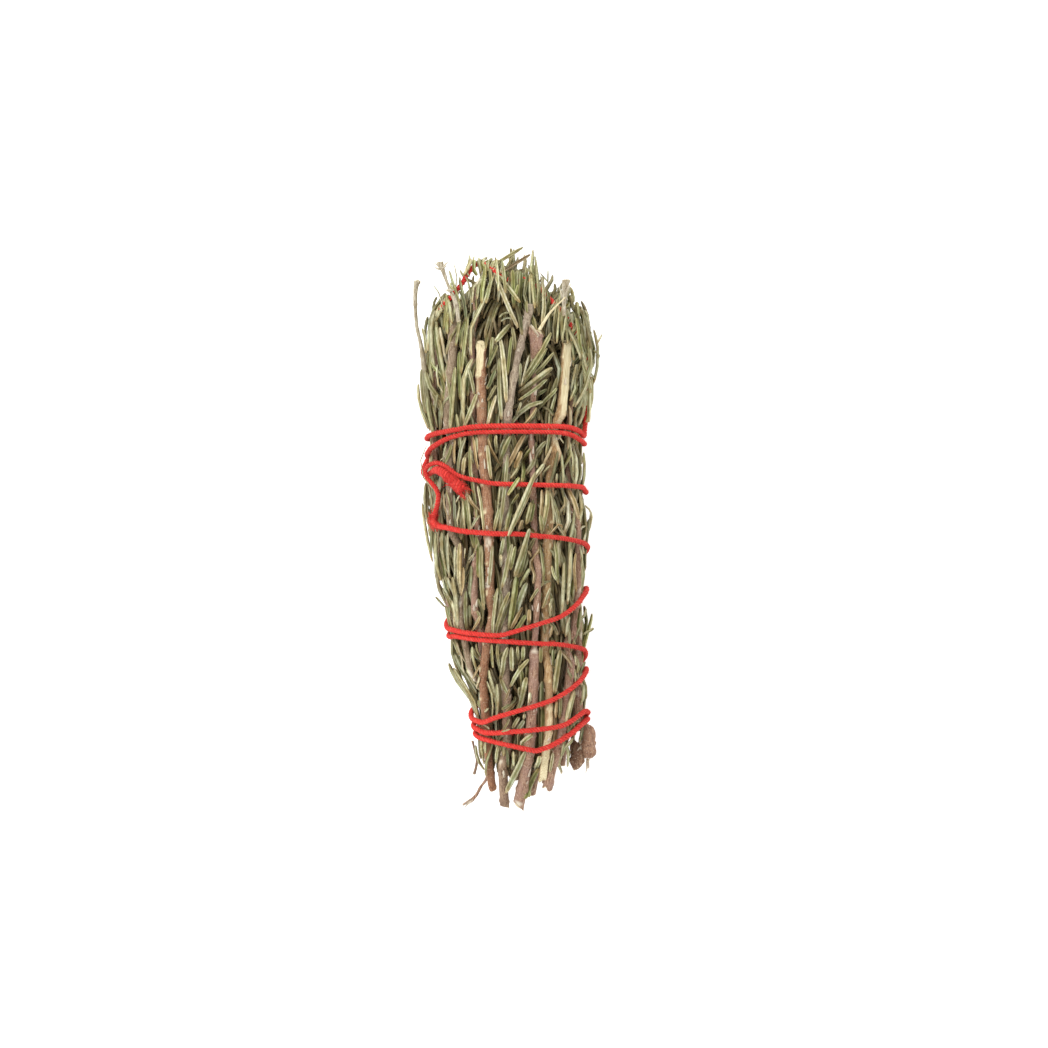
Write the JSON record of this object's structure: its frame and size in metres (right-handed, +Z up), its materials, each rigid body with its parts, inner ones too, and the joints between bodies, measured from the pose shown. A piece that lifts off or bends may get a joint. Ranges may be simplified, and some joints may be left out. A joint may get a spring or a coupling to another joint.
{
  "type": "rosemary smudge stick",
  "caption": "Smudge stick: a bundle of dried rosemary sprigs laid side by side and bound from the cut stems to the leaf tips with red wool yarn.",
  "frame": {"origin": "centre of the bounding box's underside, on the surface that the bundle lies on", "axes": "+Y along the bundle from the cut stem ends to the leaf tips, +X across it, +Z up"},
  "size_m": [0.0584, 0.1761, 0.0471],
  "materials": {
    "dried_leaf": "matte",
    "brown_bark": "matte",
    "grey_bark": "matte",
    "split_wood": "matte",
    "wool_yarn": "matte"
  },
  "bodies": {
    "root": {"left_edge_sprig_stem": "brown_bark", "left_edge_sprig_leaves": "dried_leaf", "left_thick_sprig_stem": "brown_bark", "left_thick_sprig_leaves": "dried_leaf", "left_slender_sprig_stem": "brown_bark", "left_slender_sprig_leaves": "dried_leaf", "long_middle_sprig_stem": "brown_bark", "long_middle_sprig_leaves": "dried_leaf", "grey_middle_sprig_stem": "grey_bark", "grey_middle_sprig_leaves": "dried_leaf", "thick_cut_sprig_stem": "brown_bark", "thick_cut_sprig_leaves": "dried_leaf", "split_sprig_stem": "split_wood", "split_sprig_leaves": "dried_leaf", "right_slender_sprig_stem": "brown_bark", "right_slender_sprig_leaves": "dried_leaf", "right_edge_sprig_stem": "brown_bark", "right_edge_sprig_leaves": "dried_leaf", "under_sprig_1_stem": "brown_bark", "under_sprig_1_leaves": "dried_leaf", "under_sprig_2_stem": "brown_bark", "under_sprig_2_leaves": "dried_leaf", "under_sprig_3_stem": "brown_bark", "under_sprig_3_leaves": "dried_leaf", "under_sprig_4_stem": "brown_bark", "under_sprig_4_leaves": "dried_leaf", "under_sprig_5_stem": "brown_bark", "under_sprig_5_leaves": "dried_leaf", "under_sprig_6_stem": "brown_bark", "under_sprig_6_leaves": "dried_leaf", "under_sprig_7_stem": "brown_bark", "under_sprig_7_leaves": "dried_leaf", "inner_sprig_1_stem": "brown_bark", "inner_sprig_1_leaves": "dried_leaf", "inner_sprig_2_stem": "brown_bark", "inner_sprig_2_leaves": "dried_leaf", "inner_sprig_3_stem": "brown_bark", "inner_sprig_3_leaves": "dried_leaf", "inner_sprig_4_stem": "brown_bark", "inner_sprig_4_leaves": "dried_leaf", "inner_sprig_5_stem": "brown_bark", "inner_sprig_5_leaves": "dried_leaf", "bare_twig": "grey_bark", "flower_stalk": "grey_bark", "cream_twig": "split_wood", "dry_calyx_twig": "grey_bark", "bud_twig": "grey_bark", "hooked_twig": "grey_bark", "broken_stub": "brown_bark", "red_yarn": "wool_yarn"}
  },
  "joints": []
}
